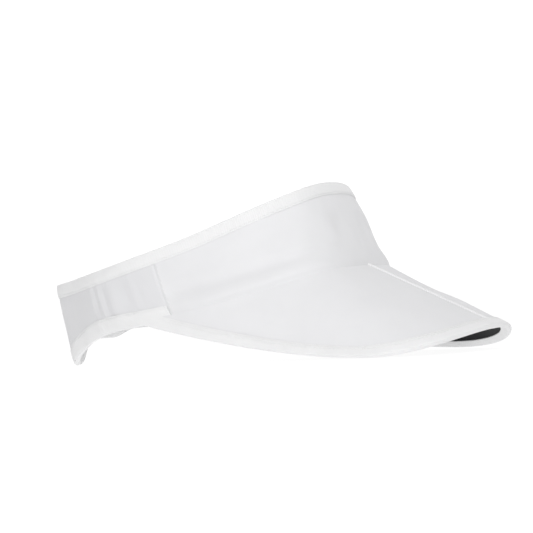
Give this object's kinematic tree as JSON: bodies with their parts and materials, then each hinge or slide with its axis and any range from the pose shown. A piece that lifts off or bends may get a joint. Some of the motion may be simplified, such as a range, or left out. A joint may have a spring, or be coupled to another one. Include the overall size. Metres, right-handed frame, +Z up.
{
  "type": "sun visor",
  "caption": "Soft open-topped sun visor: curved crown band with bound edges and an elastic rear, and a wide arched brim that folds along its centre crease.",
  "frame": {"origin": "middle of the footprint, on the plane that the tail and the two low points of the brim rest on", "axes": "+X forward through the brim's tip, +Y to the wearer's left, +Z up"},
  "size_m": [0.2946, 0.1848, 0.1067],
  "materials": {
    "crown_cloth": "plain woven polyester, matt",
    "rear_cloth": "soft stretch cloth, matt",
    "brim_cloth": "plain woven polyester, matt",
    "under_cloth": "black woven lining, matt",
    "binding_tape": "twill binding tape, matt",
    "lining": "fine mesh lining, matt",
    "sweatband": "brushed terry, matt",
    "elastic": "ribbed elastic, matt",
    "thread": "sewing thread",
    "brim_board": "flexible sheet"
  },
  "bodies": {
    "crown": {"front_panel": "crown_cloth", "front_lining": "lining", "sweatband": "sweatband", "top_binding": "binding_tape", "crease_piping": "brim_cloth", "side_seam_tape_right": "lining", "side_seam_tape_left": "lining", "rear_panel_right": "rear_cloth", "rear_panel_left": "rear_cloth", "rear_facing_right": "lining", "rear_facing_left": "lining", "rear_elastic": "elastic", "rear_hem_binding": "binding_tape"},
    "brim_right": {"brim_board_right": "brim_board", "brim_top_cover_right": "brim_cloth", "brim_under_cover_right": "under_cloth", "brim_binding_right": "binding_tape"},
    "brim_left": {"brim_board_left": "brim_board", "brim_top_cover_left": "brim_cloth", "brim_under_cover_left": "under_cloth", "brim_binding_left": "binding_tape"}
  },
  "joints": [
    {"name": "brim_fold_right", "type": "hinge", "parent": "crown", "child": "brim_right", "pos_m": [0.0658, 0, 0.05518], "axis": [0.9004, 0, -0.435], "range_deg": [0, 30]},
    {"name": "brim_fold_left", "type": "hinge", "parent": "crown", "child": "brim_left", "pos_m": [0.0658, 0, 0.05518], "axis": [0.9004, 0, -0.435], "range_deg": [-30, 0]}
  ],
  "couplings": [
    {"joint": "brim_fold_left", "follows": "brim_fold_right", "ratio": -1}
  ]
}
